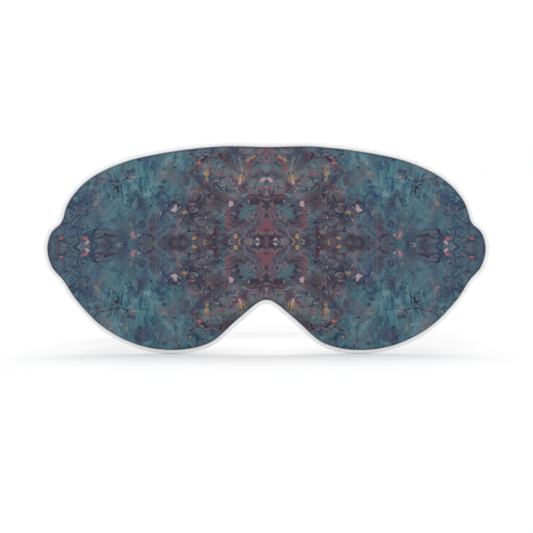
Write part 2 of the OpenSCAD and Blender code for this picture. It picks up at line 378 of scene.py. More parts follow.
class Shader(Nodes):
    """A material with a Principled shader."""

    def __init__(self, name, **finish):
        self.material = bpy.data.materials.new(name)
        self.material.use_nodes = True
        super().__init__(self.material.node_tree)
        self.surface = self.tree.nodes["Principled BSDF"]
        self.fed(self.surface, **finish)

    def finished(self, shade, height, reach, strength):
        """The material, once it has its colour and a bump that is at most reach high."""
        normal = self.fed(self.node("Bump"), Strength=strength, Distance=reach, Height=height)
        self.fed(self.surface, Base_Color=shade, Normal=normal)
        return self.material


def colour(red, green, blue):
    """An sRGB colour of 0 to 255 a channel, as the linear colour that a shader takes."""
    parts = (red / 255, green / 255, blue / 255)
    return (*[c / 12.92 if c <= 0.04045 else ((c + 0.055) / 1.055) ** 2.4 for c in parts], 1.0)


def dimmed(tint, share):
    return (*[c * share for c in tint[:3]], 1.0)


# -------- the print

NAVY = colour(20, 24, 44)
INK = colour(40, 46, 76)
WINE = colour(70, 34, 50)
ROSE = colour(134, 78, 90)
CORAL = colour(182, 110, 116)
BLUSH = colour(184, 156, 160)
OCHRE = colour(172, 138, 88)
PALE = colour(118, 158, 164)
SMOKE = colour(120, 112, 120)

# The print is mirrored about x = 0 and about a fold line that drops towards the tabs. All in millimetres.
FOLD_Z = 54.5
FOLD_DROP = 3.4
FOLD_HALF_L = 105
# Where a zone fades out or in, as distances from the middle line or from the fold: nothing yet, then full.
MIDDLE_FADE = (62.0, 40.0)
TABS_FADE = (58.0, 74.0)
BAND_FADE = (27.0, 4.0)
WANDER = 100.0              # how freely the zones' borders wander
EYE_FAN = (56, -14)         # the middles of the two fans of streaks
TAB_FAN = (118, -6)
BROAD_DABS = 13.0           # size of the cells that hold one dab each
SMALL_DABS = 5.0
SMEAR = (0.3, 3.0)          # how fine the smear of the paint's edges is, per millimetre, and its reach
FINE_SMEAR = (0.5, 2.0)


def strokes(s, at, cell, length, width, share, curve, seed, soft):
    """Brush marks of random place, turn and size, one to a cell of the given size in millimetres, in that
    share of the cells. Gives how much of the mark lies at the point."""
    scaled = at * (1 / cell) + (seed, seed * 0.7, 0)
    middle, turn, drawn, size = s.cells(scaled, 0.6)
    x, y, _ = s.split(s.turn(scaled - middle, turn * tau))
    x = x * (cell / length)
    bow = x * x * (size * (4 * curve) - curve)
    wave = s.math("SINE", x * 3.6) * (curve * 0.6)
    y = y * (cell / width) + (bow + wave)
    size = size * 0.6 + 0.4
    mark = s.ease(s.math("SQRT", x * x + y * y), size, size * (1 - soft))
    return mark * s.math("LESS_THAN", drawn, share)


def fan(s, at, centre, along, across, seed):
    """Streaks that spread out from a centre, in millimetres."""
    local = at - (*centre, 0)
    x, y, _ = s.split(local)
    streaks = s.join(s.vector("LENGTH", local) * along, s.math("ARCTAN2", y, x) * across, seed)
    return s.noise(streaks, 1.0, 5, 0.7)


def dabs(s, at, cell, lean, spread, along, across, seed):
    """Dabs of a dry brush, each in its own direction: lean give or take half of spread, in radians."""
    _, turn, where, tone = s.cells(at * (1 / cell) + (seed, seed * 0.4, 0), 1.0)
    x, y, _ = s.split(s.turn(at, (turn - 0.5) * spread + lean))
    bristle = s.noise(s.join(x * along, y * across, where * 60.0), 1.0, 2, 0.5)
    return (tone - 0.5) * 0.16 + bristle


def paint_zones(s, at, wide, tall):
    """How much of each point lies in the middle, at the tabs, and in the dark band along the fold."""
    cloud = s.noise(at + (15.0, 33.0, 0), 0.055, 4, 0.65)
    wander = (cloud - 0.5) * WANDER
    middle = s.ease(wide + wander + tall * 0.5, *MIDDLE_FADE)
    outer = s.ease(wide + tall * -0.35, *TABS_FADE)
    band = s.ease(outer * -8.0 + (wander * 0.3 + tall), *BAND_FADE)
    return middle, outer, band


def brushed_ground(s, at, flat, middle, outer, band):
    """The ground's shade: streaks fan out from the tabs and from under the eyes, with dabs across them."""
    streak = s.lerp(outer, fan(s, at, EYE_FAN, 0.06, 22.0, 11.0), fan(s, at, TAB_FAN, 0.05, 26.0, 3.0))
    lean = s.lerp(outer, band * -1.2 + 1.5, -0.1)
    smeared = s.push(at, flat, *SMEAR, 4.0)
    broad = dabs(s, smeared, BROAD_DABS, lean, s.lerp(middle, 1.3, 3.6), 0.10, 0.75, 5.0)
    smeared = s.push(at, flat, *FINE_SMEAR, 9.0)
    small = dabs(s, smeared, SMALL_DABS, lean, s.lerp(middle, 1.8, 4.5), 0.25, 1.3, 14.0)
    tone = s.noise(at + (90.0, 12.0, 0), 0.085, 3, 0.5)
    layers = ((streak, 0.9, 0.25), (broad, 0.8, 1.1), (small, 0.45, 0.4), (tone, 0.9, 0.7))
    ground = 0.5
    for layer, outside, inside in layers:
        ground = (layer - 0.5) * s.lerp(middle, outside, inside) + ground
    return ground


def ground_colours(s, ground, middle, band):
    sea = s.ramp(ground, (0.22, 34, 52, 76), (0.36, 54, 88, 108), (0.48, 68, 114, 128),
                 (0.62, 90, 136, 146), (0.80, 134, 162, 164))
    slate = s.ramp(ground, (0.24, 38, 44, 68), (0.42, 58, 77, 99), (0.56, 72, 95, 111),
                   (0.76, 100, 113, 122))
    dusk = s.ramp(ground, (0.22, 42, 38, 54), (0.38, 68, 68, 82), (0.52, 90, 99, 107),
                  (0.66, 114, 121, 126), (0.82, 152, 142, 142))
    umber = s.ramp(ground, (0.24, 38, 34, 52), (0.42, 62, 60, 77), (0.58, 84, 84, 97),
                   (0.78, 120, 108, 114))
    return s.blend(middle, s.blend(band * 0.85, sea, slate), s.blend(band * 0.9, dusk, umber))


PATCHES = (
    # shade, scale, low, high, cover outside, and in the middle, seed
    (colour(84, 70, 84), 0.08, 0.54, 0.65, 0.5, 0.25, 60.0),
    (colour(56, 70, 104), 0.12, 0.54, 0.64, 0.75, 0.35, 80.0),
    (colour(74, 116, 126), 0.11, 0.52, 0.62, 0.4, 0.65, 10.0),
    (colour(92, 68, 70), 0.15, 0.55, 0.65, 0.15, 0.5, 30.0),
    (ROSE, 0.18, 0.57, 0.68, 0.12, 0.55, 45.0),
    (SMOKE, 0.17, 0.57, 0.67, 0.15, 0.6, 95.0),
    (WINE, 0.15, 0.56, 0.66, 0.3, 0.65, 120.0),
    (colour(36, 50, 84), 0.15, 0.57, 0.68, 0.75, 0.6, 140.0),
    (OCHRE, 0.17, 0.655, 0.74, 0.35, 0.8, 165.0),
)
MARKS = (
    # paint, cell, length, width, share of cells outside, and in the middle, curve, seed, softness, cover
    (SMOKE, 9.0, 3.0, 1.1, 0.20, 0.60, 0.4, 9.4, 0.7, 0.7),
    (WINE, 12.0, 4.0, 1.7, 0.12, 0.60, 0.6, 5.3, 0.6, 0.85),
    (INK, 10.0, 4.6, 1.1, 0.55, 0.45, 0.8, 2.9, 0.7, 0.75),
    (PALE, 8.0, 3.0, 0.5, 0.22, 0.2, 0.7, 3.1, 0.6, 0.6),
    (BLUSH, 14.0, 2.4, 1.4, 0.16, 0.50, 0.3, 4.2, 0.45, 0.85),
    (CORAL, 11.0, 2.4, 1.2, 0.05, 0.40, 0.4, 6.6, 0.6, 0.7),
    (OCHRE, 16.0, 3.2, 2.0, 0.10, 0.32, 0.5, 8.8, 0.7, 0.8),
    (NAVY, 8.0, 3.4, 0.34, 0.55, 0.55, 1.3, 1.7, 0.4, 0.95),
    (NAVY, 11.0, 4.6, 0.42, 0.50, 0.50, 1.5, 7.9, 0.4, 0.95),
    (BLUSH, 7.0, 1.4, 0.35, 0.14, 0.30, 0.6, 12.2, 0.4, 0.8),
    (NAVY, 5.5, 1.7, 0.36, 0.40, 0.40, 1.0, 2.3, 0.4, 0.9),
)


WARP, WEFT = 0.24 * MM, 0.5 * MM    # the printed satin's weave


def printed_satin():
    """Marbled paint printed on satin, mirrored left to right and top to bottom."""
    s = Shader("printed_satin", Roughness=0.6, Specular_IOR_Level=0.2, Sheen_Weight=0.03, Sheen_Roughness=0.4)
    x, _, z = s.split(s.place())
    wide = s.math("ABSOLUTE", x * (1 / MM))
    fold_z = wide * wide * (-FOLD_DROP / FOLD_HALF_L**2) + FOLD_Z
    tall = s.math("ABSOLUTE", z * (1 / MM) - fold_z)
    flat = s.join(wide, tall)
    at = s.push(s.push(flat, flat, 0.05, 13.0), flat, 0.2, 2.6, 7.0)
    middle, outer, band = paint_zones(s, at, wide, tall)
    ground = brushed_ground(s, at, flat, middle, outer, band)
    base = ground_colours(s, ground, middle, band)

    for shade, scale, low, high, outside, inside, seed in PATCHES:
        cloud = s.noise(at * (1.0, 0.7, 1.0) + (seed, seed * 0.3, 0), scale, 3, 0.56)
        patch = s.ease(cloud + (ground * 0.3 - 0.15), low, high)
        base = s.blend(patch * s.lerp(middle, outside, inside), base, shade)
    spots = s.ease(s.noise(at + (5.0, 70.0, 0), 0.2, 3, 0.6), 0.42, 0.6)
    base = s.blend(s.ease(wide, 7.0, 1.0) * spots * 0.7, base, ROSE)

    # The brush marks gather in some places and leave others clear.
    gather = s.ease(s.noise(flat + (50.0, 20.0, 0), 0.075, 2, 0.5), 0.46, 0.58, 0.14, 1.9)
    for paint, cell, length, width, outside, inside, curve, seed, soft, cover in MARKS:
        share = s.lerp(middle, outside, inside) * gather
        smeared = s.push(flat, flat, *SMEAR, seed * 13)
        mark = strokes(s, smeared, cell, length, width, share, curve, seed, soft)
        base = s.blend(mark * cover, base, paint)

    # Painted shade: the print is darkened within about 1.5 mm of the seam, where the cloth turns under into
    # the crease beside the piping.
    depth = s.node("Attribute", attribute_name="inside").outputs["Fac"]
    base = s.blend(s.ease(depth, 0.2 * MM, 1.5 * MM, 0.55, 0.0), base, colour(42, 50, 60))
    shade = s.fed(s.node("HueSaturation"), Value=0.90, Color=base)
    weave = s.place() * (1 / WARP, 1.0, 1 / WEFT)
    return s.finished(shade, s.noise(weave, 1.0, 1, 0.5), 0.02 * MM, 0.6)


# -------- the plain materials

def satin(name, tint, weave_u, weave_v, source="Object"):
    """Plain satin with a fine weave and a soft gloss."""
    s = Shader(name, Specular_IOR_Level=0.3)
    at = s.place(source)
    fine = s.noise(at * (1 / weave_u, 1 / weave_v, 1 / weave_v), 1.0, 1, 0.5)
    slub = s.noise(at * (1 / (9 * MM)), 1.0, 3, 0.6)
    shade = s.blend(slub * 0.5 + fine * 0.5, dimmed(tint, 0.9), tint)
    s.fed(s.surface, Roughness=s.ease(slub, 0.2, 0.8, 0.36, 0.52))
    return s.finished(shade, fine, 0.02 * MM, 0.5)


RIB = 1.0 * MM      # pitch of the elastic's lengthwise ribs
PICK = 0.62 * MM    # pitch of the rows across it


def elastic():
    """Woven elastic: rows of picks that step sideways from rib to rib, and painted shade in the grooves
    between the ribs.
    """
    s = Shader("elastic", Roughness=0.72, Sheen_Weight=0.3, Sheen_Roughness=0.4)
    u, v, _ = s.split(s.place("UV"))
    rib = v / RIB
    step = s.math("FLOORED_MODULO", s.math("FLOOR", rib), 2.0) * 0.5
    row = s.math("SINE", (u / PICK + step) * tau)
    # Painted shade: the grooves between the ribs are coloured greyer.
    painted_groove_shade = s.math("COSINE", rib * tau)
    fibre = s.noise(s.join(u / (0.9 * MM), v / (0.12 * MM)), 1.0, 2, 0.6)
    lint = s.noise(s.join(u / (14 * MM), v / (6 * MM)), 1.0, 3, 0.6)
    base = s.blend(row * 0.16 + 0.5 + painted_groove_shade * -0.26, colour(196, 196, 194), colour(240, 240, 237))
    shade = s.blend(s.ease(lint, 0.35, 0.7, 0.0, 0.3), base, colour(222, 221, 215))
    return s.finished(shade, row * 0.5 + 0.5 + fibre * 0.5, 0.08 * MM, 0.8)


def thread(name, tint):
    """Spun thread: fine fibres along a slight change of shade."""
    s = Shader(name, Roughness=0.6, Sheen_Weight=0.3)
    fibre = s.noise(s.place() * (1 / (0.08 * MM)), 1.0, 2, 0.6)
    tone = s.noise(s.place(), 300.0, 2, 0.5)
    shade = s.blend(fibre * 0.5 + tone * 0.5, dimmed(tint, 0.72), tint)
    return s.finished(shade, fibre, 0.02 * MM, 0.6)


def wadding_felt():
    """Bonded polyester wadding: matted fibres and soft lumps."""
    s = Shader("wadding", Roughness=0.95, Sheen_Weight=0.4, Sheen_Roughness=0.6)
    at = s.push(s.place() * (1 / (3 * MM)), s.place(), 150.0, 2.0)
    fibre = s.noise(at * (6.0, 1.0, 1.0), 1.0, 5, 0.7)
    lump = s.noise(s.place(), 90.0, 3, 0.5)
    shade = s.ramp(fibre * 0.6 + lump * 0.4, (0.3, 196, 194, 186), (0.7, 240, 239, 234))
    return s.finished(shade, fibre, 0.3 * MM, 0.8)


def blackout():
    """Close black cloth: a plain weave with a little dust on it."""
    s = Shader("blackout_cloth", Roughness=0.85, Specular_IOR_Level=0.3)
    x, _, z = s.split(s.place())
    weave = s.math("SINE", x / (0.06 * MM)) * s.math("SINE", z / (0.06 * MM)) * 0.5 + 0.5
    dust = s.ease(s.noise(s.place(), 220.0, 4, 0.6), 0.4, 0.7)
    return s.finished(s.blend(weave * dust, colour(16, 16, 18), colour(44, 44, 48)), weave, 0.05 * MM, 0.7)


def moulded_plastic():
    """White moulded nylon: faint flow marks, a fine satin texture and a little yellowing."""
    s = Shader("moulded_plastic", IOR=1.53, Subsurface_Weight=0.06, Subsurface_Scale=1.2 * MM)
    flow = s.noise(s.place() * (90.0, 90.0, 300.0), 1.0, 3, 0.5)
    spark = s.noise(s.place(), 4200.0, 2, 0.5)
    s.fed(s.surface, Roughness=s.ease(flow, 0.3, 0.7, 0.28, 0.42))
    return s.finished(s.ramp(flow, (0.3, 226, 226, 220), (0.7, 240, 240, 237)), spark, 0.012 * MM, 0.5)


def woven_label():
    """A blank ribbon label: lengthwise warp lines, cross picks, and a border woven a shade darker."""
    s = Shader("label_tape", Roughness=0.5, Sheen_Weight=0.25)
    x, _, z = s.split(s.place())
    warp = s.math("SINE", x / (0.045 * MM))
    pick = s.math("SINE", z / (0.06 * MM))
    weave = (warp + pick * 0.5) * 0.33 + 0.5
    lo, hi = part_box("care_label")
    half_w = (hi.x - lo.x) / 2
    off = s.math("ABSOLUTE", x - (hi.x + lo.x) / 2)
    border = (s.ease(off, half_w - 1.1 * MM, half_w - 1.3 * MM)
              * s.ease(off, half_w - 2.1 * MM, half_w - 1.9 * MM))
    base = s.blend(weave, colour(214, 213, 208), colour(238, 238, 234))
    return s.finished(s.blend(border * 0.6, base, colour(168, 172, 178)), weave, 0.03 * MM, 0.6)


PRINT = printed_satin()
LINING = satin("white_satin", colour(231, 231, 230), 0.22 * MM, 0.5 * MM)
PIPING = satin("piping_satin", colour(236, 236, 237), 0.3 * MM, 0.3 * MM, "UV")
ELASTIC = elastic()
THREAD = thread("thread", colour(238, 238, 234))
CORD = thread("piping_cord", colour(232, 228, 214))
WADDING = wadding_felt()
BLACKOUT = blackout()
PLASTIC = moulded_plastic()
LABEL = woven_label()


# -------- the padded body

SEAM_POINTS = 300
PANEL_STEP = 2.3 * MM
LAYER_GAP = 0.1 * MM
EDGE_RINGS = (0.6 * MM, 1.4 * MM)   # rows of points that give the turn at the seam its shape
PUCKER_AT = 3.0 * MM                # how far in from the seam the puckers stand highest
PUCKER_H = 0.26 * MM
GATHERS_ROUND = (36, 92)            # from how many to how many go once round the seam
WAVE_L = 9 * MM
WAVE_H = 0.2 * MM
PRESS_REACH = 5 * MM                # how far round a sewn end the lining is pulled down
PRESS_GAP = 0.03 * MM
PULL_BACK = 0.15 * MM               # how far the skins' edges stay back from the piping
BLOWN_MOST = 1.2 * MM               # how far the cloth solver may move a point
CROWN_L = 8 * MM                    # how far in from the seam the padding is still rising
LUMP_WAVES = 9                      # how many waves make up the wadding's lumps
LUMP_L = 4 * MM
HELD_L = 14 * MM                    # how far in from the seam the cloth's soft waves are full


def filled(outline, step, rings=()):
    """Even triangles inside an outline. Its points come first, then rings that far inside, then the rest."""
    lo, hi = outline.min(0), outline.max(0)
    edge = np.vstack([outline] + [outline - depth * normals_of(outline) for depth in rings])
    inside = []
    for k, z in enumerate(np.arange(lo[1] + step / 2, hi[1], step * sqrt(0.75))):
        crossed = sorted(
            a[0] + (z - a[1]) * (b[0] - a[0]) / (b[1] - a[1])
            for a, b in zip(outline, np.roll(outline, -1, 0)) if (a[1] > z) != (b[1] > z)
        )
        across = np.arange(round(lo[0] / step), round(hi[0] / step) + 1) * step + (k % 2) * step / 2
        for left, right in zip(crossed[::2], crossed[1::2]):
            inside += [(x, z) for x in across if left < x < right]
    inside = np.array(inside)
    near = np.min(np.linalg.norm(inside[:, None] - edge[None], axis=2), axis=1)
    points = np.vstack([edge, inside[near > 0.6 * step]])
    made = delaunay_2d_cdt([Vector(p / MM) for p in points], [], [list(range(len(outline)))], 1, 1e-6)
    return np.array([(v.x, v.y) for v in made[0]]) * MM, np.array(made[2])


def depth_in(points, outline):
    """How far each point lies inside the outline."""
    side = np.roll(outline, -1, 0) - outline
    share = np.einsum("pij,ij->pi", points[:, None] - outline[None], side) / (side**2).sum(1)
    foot = outline[None] + np.clip(share, 0, 1)[..., None] * side[None]
    return np.min(np.linalg.norm(points[:, None] - foot, axis=2), axis=1)


def crown(depth, height):
    """How far the padding lifts the cloth at this distance from the seam."""
    return height * (1 - np.exp(-depth / CROWN_L)) ** 0.75


def swell(obj, pinned, frames=20):
    """Blows the closed body up a little with the cloth solver, its seam held."""
    group = obj.vertex_groups.new(name="seam")
    group.add([int(i) for i in pinned], 1.0, "REPLACE")
    cloth = modify(obj, "CLOTH")
    give(cloth.settings, quality=8, mass=0.06, tension_stiffness=30, compression_stiffness=30,
         shear_stiffness=15, bending_stiffness=0.01, use_pressure=True, uniform_pressure_force=3.5,
         shrink_min=-0.012, vertex_group_mass=group.name)
    cloth.settings.effector_weights.gravity = 0
    cloth.collision_settings.use_collision = False
    give(cloth.point_cache, frame_start=1, frame_end=frames)
    for f in range(1, frames + 1):
        bpy.context.scene.frame_set(f)
    apply_modifiers(obj)
    bpy.context.scene.frame_set(1)


def nearest_on(outline, flat):
    """The number of the outline point that is nearest to each point."""
    return np.argmin(np.linalg.norm(flat[:, None] - outline[None], axis=2), axis=1)


def gathers(flat, depth, share, strength):
    """How far the cloth stands up in the short puckers that run in from the seam, and in a few soft waves."""
    pucker, wave = np.zeros(len(flat)), np.zeros(len(flat))
    puckers, waves = 12, 8
    for _ in range(puckers):
        count, phase = int(rng.integers(*GATHERS_ROUND)), rng.uniform(0, tau)
        pucker += np.sin(tau * count * share + phase) / puckers**0.5
    reach = (depth / PUCKER_AT) * np.exp(1 - depth / PUCKER_AT)
    for _ in range(waves):
        way, phase = rng.normal(0, 1 / WAVE_L, 2), rng.uniform(0, tau)
        wave += np.sin(flat @ way + phase) / waves**0.5
    held = np.clip(depth / HELD_L, 0, 1) ** 2
    return strength * (PUCKER_H * pucker * reach + WAVE_H * wave * held)


def pressed(skin):
    """The lining's points, held down under the elastic's sewn ends."""
    for node in ("strap_sewn_end", "ring_loop_sewn_end"):
        lo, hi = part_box(node)
        beside = np.hypot(*[np.maximum(0, np.maximum(low - skin[:, c], skin[:, c] - high))
                            for c, low, high in ((0, lo.x, hi.x), (2, lo.z, hi.z))])
        hold = eased(np.clip(1 - beside / PRESS_REACH, 0, 1))
        under = np.minimum(skin[:, 1], lo.y - CLOTH - PRESS_GAP)
        skin[:, 1] += hold * (under - skin[:, 1])
    return skin


def mask_skins():
    """The printed face and the lining, blown up together as one closed body and then parted at the seam."""
    outline, seam_normal = seam_outline(SEAM_POINTS)
    flat, triangles = filled(outline, PANEL_STEP, EDGE_RINGS)
    depth = depth_in(flat, outline)
    count = len(flat)
    nearest = nearest_on(outline, flat)
    rest = {side: np.column_stack([flat[:, 0], SEAM_Y + side * crown(depth, height), flat[:, 1]])
            for side, height in ((-1, FACE_CROWN), (1, LINING_CROWN))}
    twin = np.where(np.arange(count) < SEAM_POINTS, np.arange(count), np.arange(count) + count - SEAM_POINTS)
    body = solid("body", np.vstack([rest[-1], rest[1][SEAM_POINTS:]]),
                 np.vstack([triangles, twin[triangles][:, ::-1]]), PRINT)
    swell(body, range(SEAM_POINTS))
    blown = np.array([v.co for v in body.data.vertices], float)
    bpy.data.objects.remove(body)
    for name, side, place, material, strength in (
        ("printed_face", -1, blown[:count], PRINT, 0.4), ("lining", 1, blown[twin], LINING, 1.0)
    ):
        moved = place - rest[side]
        far = np.linalg.norm(moved, axis=1)[:, None]
        moved *= np.minimum(1, BLOWN_MOST / np.maximum(far, 1e-9))
        skin = rest[side] + moved + np.array([0, side * EDGE_Y, 0])
        skin[:, 1] += side * gathers(flat, depth, nearest / SEAM_POINTS, strength)
        if side > 0:
            skin = pressed(skin)
        back = PULL_BACK * np.clip(1 - depth / EDGE_RINGS[1], 0, 1)
        skin[:, [0, 2]] -= back[:, None] * seam_normal[nearest]
        turned_in = rest[side][:SEAM_POINTS].copy()
        turned_in[:, 1] = SEAM_Y + side * LAYER_GAP
        hem = rim_faces(np.arange(SEAM_POINTS), count)
        obj = new_object(name, np.vstack([skin, turned_in]), [*triangles, *hem], material)
        outwards(obj, side)
        # How far in from the seam each point lies, which the printed face's material reads to paint shade
        # along the seam.
        inside = obj.data.attributes.new("inside", "FLOAT", "POINT")
        inside.data.foreach_set("value", np.r_[depth, np.zeros(SEAM_POINTS)].astype(np.float32))
        modify(obj, "SUBSURF", levels=1, render_levels=1)
        modify(obj, "SOLIDIFY", thickness=CLOTH, offset=1.0)
        apply_modifiers(obj)
        yield obj


def surface_of(skin, side):
    """Gives the y of a skin's outer face at points (x, z). side is -1 for the printed face."""
    mesh = skin.data
    tree = BVHTree.FromPolygons([v.co for v in mesh.vertices], [tuple(p.vertices) for p in mesh.polygons])

    def y_at(flat):
        found = [tree.ray_cast(Vector((x, side * 1.0, z)), Vector((0, -side, 0)))[0] for x, z in flat]
        return np.array([hit.y for hit in found])

    return y_at


def inner_form(name, material, front, back, step, lumps=0.0):
    """A closed layer inside the mask. front and back give its faces' y at points (x, z)."""
    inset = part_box("wadding")[0].x - LAYER_LO.x
    outline, normal = seam_outline(SEAM_POINTS)
    flat, triangles = filled(outline - inset * normal, step)
    lump = np.zeros(len(flat))
    for _ in range(LUMP_WAVES if lumps else 0):
        wave, phase = rng.normal(0, 1 / LUMP_L, 2), rng.uniform(0, tau)
        lump += lumps * (np.sin(flat @ wave + phase) - 1) / 6
    sheets = [np.column_stack([flat[:, 0], surface(flat) + way * lump, flat[:, 1]])
              for way, surface in ((-1, front), (1, back))]
    back_face = (triangles + len(flat))[:, ::-1]
    rim = rim_faces(np.arange(SEAM_POINTS), len(flat))
    return solid(name, np.vstack(sheets), [*triangles, *back_face, *rim], material)


face, lining = mask_skins()
piece(face, "mask", "printed_satin", "front_panel")
piece(lining, "mask", "white_satin", "back_panel")

LINER = 0.3 * MM
INNER_STEP = 3.2 * MM       # size of the triangles of the layers inside
UNDER_SKIN = CLOTH + LAYER_GAP
face_y, lining_y = surface_of(face, -1), surface_of(lining, 1)
wadding = inner_form(
    "wadding_pad", WADDING, lambda at: face_y(at) + UNDER_SKIN,
    lambda at: lining_y(at) - UNDER_SKIN - LAYER_GAP - LINER, INNER_STEP, lumps=0.12 * MM)
piece(wadding, "mask", "wadding", "wadding")
liner = inner_form(
    "blackout_layer", BLACKOUT, lambda at: lining_y(at) - UNDER_SKIN - LINER,
    lambda at: lining_y(at) - UNDER_SKIN, INNER_STEP)
piece(liner, "mask", "blackout_cloth", "blackout_liner")


# -------- the piping

PIPE_STATIONS = 1400
PUCKER = 0.06       # depth of the puckers, as a share of the piping's radius
PUCKERS_ROUND = (150, 420)
PUCKER_SLANT = (0.5, 1.6)
CORD_TWISTS = 130
FLANGE_L = 3.5 * MM


def around_seam(name, section, material, twist=0, pucker=None):
    """Sweeps a closed section round the seam. The section is points (out, back): outwards from the seam, and
    towards the lining. It turns round the piping's middle, twist whole turns on the way round."""
    points, normal = seam_outline(PIPE_STATIONS)
    length = np.linalg.norm(np.roll(points, -1, 0) - points, axis=1).sum()
    along = np.arange(PIPE_STATIONS) / PIPE_STATIONS
    rows, uv = [], []
    edge = np.r_[0, np.cumsum(np.linalg.norm(np.diff(section, axis=0), axis=1))]
    for k, share in enumerate(along):
        turn = tau * twist * share
        local = section - np.array([PIPING_R, 0])
        if pucker is not None:
            local = local * pucker(share, np.arctan2(local[:, 1], local[:, 0]))[:, None]
        out = PIPING_R + local[:, 0] * cos(turn) - local[:, 1] * sin(turn)
        back = local[:, 0] * sin(turn) + local[:, 1] * cos(turn)
        x, z = (points[k, c] + out * normal[k, c] for c in (0, 1))
        rows.append(np.column_stack([x, SEAM_Y + back, z]))
        uv.append(np.column_stack([np.full(len(section), share * length), edge]))
    faces = grid_faces(PIPE_STATIONS, len(section), close_rows=True)
    obj = solid(name, np.vstack(rows), faces, material)
    set_uv(obj, np.vstack(uv))
    return obj


def arc_points(centre, radius, start, end, steps):
    angle = np.radians(np.linspace(start, end, steps))
    return np.column_stack([centre[0] + radius * np.cos(angle), centre[1] + radius * np.sin(angle)])


def piping_section():
    """A bias strip folded round its cord, with both its edges together in the seam."""
    wall = 0.28 * MM
    slit = 0.03 * MM
    open_out = degrees(asin(wall / PIPING_R))
    open_in = degrees(asin(slit / (PIPING_R - wall)))
    tip = -FLANGE_L
    outer = arc_points((PIPING_R, 0), PIPING_R, -180 + open_out, 180 - open_out, 30)
    inner = arc_points((PIPING_R, 0), PIPING_R - wall, 180 - open_in, -180 + open_in, 18)
    return np.vstack([outer, [(tip, wall), (tip, slit)], inner, [(tip, -slit), (tip, -wall)]])


def pucker_waves():
    """Slight slanting puckers, as bias cloth has round a cord, none of them proud of the piping's size."""
    waves = [(int(rng.integers(*PUCKERS_ROUND)), rng.uniform(0, tau), rng.uniform(*PUCKER_SLANT))
             for _ in range(9)]

    def scale(share, angle):
        wave = sum(np.sin(tau * n * share + phase + skew * angle) for n, phase, skew in waves)
        wave = wave / len(waves) * 1.8 - 1
        return 1 + PUCKER * wave.clip(-2, 0) * np.clip(np.cos(angle / 2), 0, 1)

    return scale


pipe = around_seam("piping_tube", piping_section(), PIPING, pucker=pucker_waves())
piece(pipe, "mask", "piping_satin", "piping_cover")

lobes = np.linspace(0, tau, 18, endpoint=False)
lobed = (CORE_R * (0.9 + 0.1 * np.cos(3 * lobes)))[:, None] * np.column_stack([np.cos(lobes), np.sin(lobes)])
core = around_seam("piping_core", lobed + np.array([PIPING_R, 0]), CORD, twist=CORD_TWISTS)
piece(core, "mask", "piping_cord", "piping_cord")


# -------- the elastic

# The loop's own plane: across along X, out of the mask, and up along the band's width.
hinge = Vector(JOINTS["strap_swing"]["pos_m"])
loop_up = -Vector(JOINTS["slider_travel"]["axis"]).normalized()
DROOP = atan2(loop_up.y, loop_up.z)
SEWN_LO, SEWN_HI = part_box("strap_sewn_end")
STRAP_W = SEWN_HI.z - SEWN_LO.z
STRAP_T = SEWN_HI.y - SEWN_LO.y
SEWN_L = SEWN_HI.x - SEWN_LO.x
CURL_R = hinge.y - (SEWN_LO.y + SEWN_HI.y) / 2
LEAN = radians(20)
LEG_L = 50 * MM
FLEX_L = 24 * MM
FOLD_R = 2.1 * MM
NEAR_BAR = LEG_L - 10 * MM
FAR_BAR = LEG_L - 1 * MM
LOOP_TAIL = 12 * MM
WRAP_R = 1.425 * MM
SLIDER_AT = radians(120)
LEG_START = Vector((SEWN_HI.x + CURL_R * cos(LEAN), CURL_R * sin(LEAN)))
LEG_END = LEG_START + LEG_L * Vector((-sin(LEAN), cos(LEAN)))
ARC_R = LEG_END.x / cos(LEAN)
ARC_Y = LEG_END.y - ARC_R * sin(LEAN)


def in_loop(across, out, up=0.0, tilt=DROOP):
    """A point of the loop's plane, or of a band tilted less than it, in the row frame."""
    return Vector((
        across,
        hinge.y + out * cos(tilt) + up * sin(tilt),
        hinge.z - out * sin(tilt) + up * cos(tilt),
    ))


class Route:
    """A path in the loop's plane, walked like a pen: forward, or round a bend to the left or right."""

    def __init__(self, across, out, heading, tilt=DROOP):
        self.at = Vector((across, out))
        self.heading = heading
        self.tilt = tilt
        self.stations = []
        self.mark(0.0)

    def mark(self, run):
        out_of_loop = Vector((sin(self.heading), -cos(self.heading)))
        length = self.stations[-1][0] + run if self.stations else 0.0
        self.stations.append((length, self.at.copy(), out_of_loop, self.tilt))

    def forward(self, length, steps, tilt=None):
        first = self.tilt
        for k in range(steps):
            self.at += length / steps * Vector((cos(self.heading), sin(self.heading)))
            if tilt is not None:
                self.tilt = first + (tilt - first) * eased((k + 1) / steps)
            self.mark(length / steps)
        return self

    def bend(self, radius, angle, steps):
        """Round a bend of angle radians, to the left if positive."""
        side = copysign(1, angle)
        centre = self.at + side * radius * Vector((-sin(self.heading), cos(self.heading)))
        for _ in range(steps):
            self.heading += angle / steps
            self.at = centre + side * radius * Vector((sin(self.heading), -cos(self.heading)))
            self.mark(abs(angle) * radius / steps)
        return self


def band_section():
    """The elastic's cross-section as points (out, up): ribs on both faces, and rounded selvedges."""
    ribs = round(STRAP_W / RIB)
    per_rib = 6
    count = ribs * per_rib
    up = np.linspace(-0.5, 0.5, count + 1) * STRAP_W
    relief = 0.5 * STRAP_T * (1 - 0.2 * (0.5 + 0.5 * np.cos(tau * up / RIB + pi * (ribs % 2))))
    edge = np.clip((STRAP_W / 2 - abs(up)) / (0.5 * STRAP_T), 0, 1)
    relief = np.maximum(relief * np.sqrt(1 - (1 - edge) ** 2), 0.12 * STRAP_T)
    return np.vstack([np.column_stack([relief, up]), np.column_stack([-relief, up])[::-1]])


